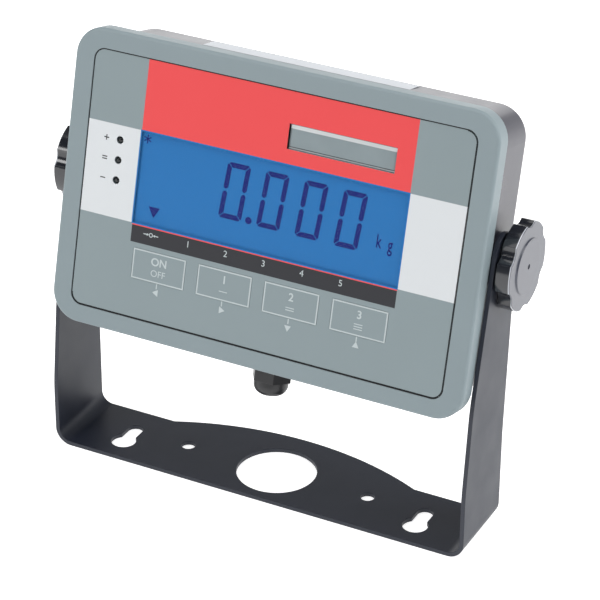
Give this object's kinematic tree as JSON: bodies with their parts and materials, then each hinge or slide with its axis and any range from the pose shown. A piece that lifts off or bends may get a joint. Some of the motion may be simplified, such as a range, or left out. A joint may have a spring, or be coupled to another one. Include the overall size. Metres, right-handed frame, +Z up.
{
  "type": "weighing indicator",
  "caption": "Weighing indicator with a backlit digit display and keys in a flanged housing, tilting in a U-shaped steel bracket with clamp knobs.",
  "frame": {"origin": "on the axis of the base's central cable hole, at the underside of the bracket's base", "axes": "+X to the right as seen from the front, along the tilt axis; -Y the way the display looks; +Z up, out of the base"},
  "size_m": [0.2316, 0.0759, 0.2079],
  "materials": {
    "bracket_steel": "smooth matt powder coat, charcoal",
    "bezel_plastic": "fine satin, grey-green",
    "label_film": "printed satin film",
    "key_film": "printed satin film over a moulded key",
    "window_clear": "clear, glossy",
    "lcd_blue": "backlit blue glass",
    "light_guide": "translucent white",
    "frame_black": "moulded black",
    "contact_rubber": "pink and carbon layers",
    "card_paper": "plain paper card",
    "lamp_lens": "dark lens, unlit",
    "switch_plastic": "moulded black",
    "board_green": "solder resist",
    "capacitor_sleeve": "shrink sleeve",
    "terminal_green": "moulded green",
    "screw_steel": "zinc-plated",
    "washer_steel": "zinc-plated",
    "insert_brass": "turned",
    "housing_plastic": "glossy dark grey",
    "seal_rubber": "moulded",
    "gland_plastic": "moulded black",
    "knob_plastic": "glossy dark grey"
  },
  "bodies": {
    "stand": {"bracket": "bracket_steel"},
    "indicator": {"front_bezel": "bezel_plastic", "front_label": "label_film", "display_window": "window_clear", "card_window": "window_clear", "lcd_panel": "lcd_blue", "backlight": "light_guide", "lcd_frame": "frame_black", "contact_strips": "contact_rubber", "data_card": "card_paper", "status_lamps": "lamp_lens", "key_switches": "switch_plastic", "board_parts": "switch_plastic", "buzzer": "switch_plastic", "power_socket": "switch_plastic", "main_board": "board_green", "capacitors": "capacitor_sleeve", "terminal_block": "terminal_green", "terminal_screws": "screw_steel", "board_screws": "screw_steel", "housing_screws": "screw_steel", "boss_inserts": "insert_brass", "rear_housing": "housing_plastic", "housing_gasket": "seal_rubber", "cable_gland_seal": "seal_rubber", "friction_ring_right": "seal_rubber", "friction_ring_left": "seal_rubber", "cable_gland_body": "gland_plastic", "cable_gland_nut": "gland_plastic", "cable_gland_locknut": "gland_plastic"},
    "clamp_right": {"knob_washer_right": "washer_steel"},
    "clamp_left": {"knob_washer_left": "washer_steel"},
    "grip_right": {"knob_right": "knob_plastic", "knob_stud_right": "screw_steel"},
    "grip_left": {"knob_left": "knob_plastic", "knob_stud_left": "screw_steel"},
    "button_1": {"key_1": "key_film"},
    "button_2": {"key_2": "key_film"},
    "button_3": {"key_3": "key_film"},
    "button_4": {"key_4": "key_film"}
  },
  "joints": [
    {"name": "tilt", "type": "hinge", "parent": "stand", "child": "indicator", "pos_m": [0, 0.0159, 0.1337], "axis": [1, 0, 0], "continuous": true},
    {"name": "clamp_right_out", "type": "slide", "parent": "indicator", "child": "clamp_right", "axis": [1, 0, 0], "range_m": [0, 0.002]},
    {"name": "knob_right_turn", "type": "hinge", "parent": "clamp_right", "child": "grip_right", "pos_m": [0.1086, 0.0159, 0.1337], "axis": [1, 0, 0], "range_deg": [0, 720]},
    {"name": "clamp_left_out", "type": "slide", "parent": "indicator", "child": "clamp_left", "axis": [-1, 0, 0], "range_m": [0, 0.002]},
    {"name": "knob_left_turn", "type": "hinge", "parent": "clamp_left", "child": "grip_left", "pos_m": [-0.1086, 0.0159, 0.1337], "axis": [-1, 0, 0], "range_deg": [0, 720]},
    {"name": "key_1_press", "type": "slide", "parent": "indicator", "child": "button_1", "axis": [0, 0.969, -0.247], "range_m": [0, 0.0004], "stiffness_N_per_m": 6000},
    {"name": "key_2_press", "type": "slide", "parent": "indicator", "child": "button_2", "axis": [0, 0.969, -0.247], "range_m": [0, 0.0004], "stiffness_N_per_m": 6000},
    {"name": "key_3_press", "type": "slide", "parent": "indicator", "child": "button_3", "axis": [0, 0.969, -0.247], "range_m": [0, 0.0004], "stiffness_N_per_m": 6000},
    {"name": "key_4_press", "type": "slide", "parent": "indicator", "child": "button_4", "axis": [0, 0.969, -0.247], "range_m": [0, 0.0004], "stiffness_N_per_m": 6000}
  ],
  "couplings": [
    {"joint": "knob_right_turn", "follows": "clamp_right_out", "rad_per_m": 6283},
    {"joint": "knob_left_turn", "follows": "clamp_left_out", "rad_per_m": 6283}
  ]
}
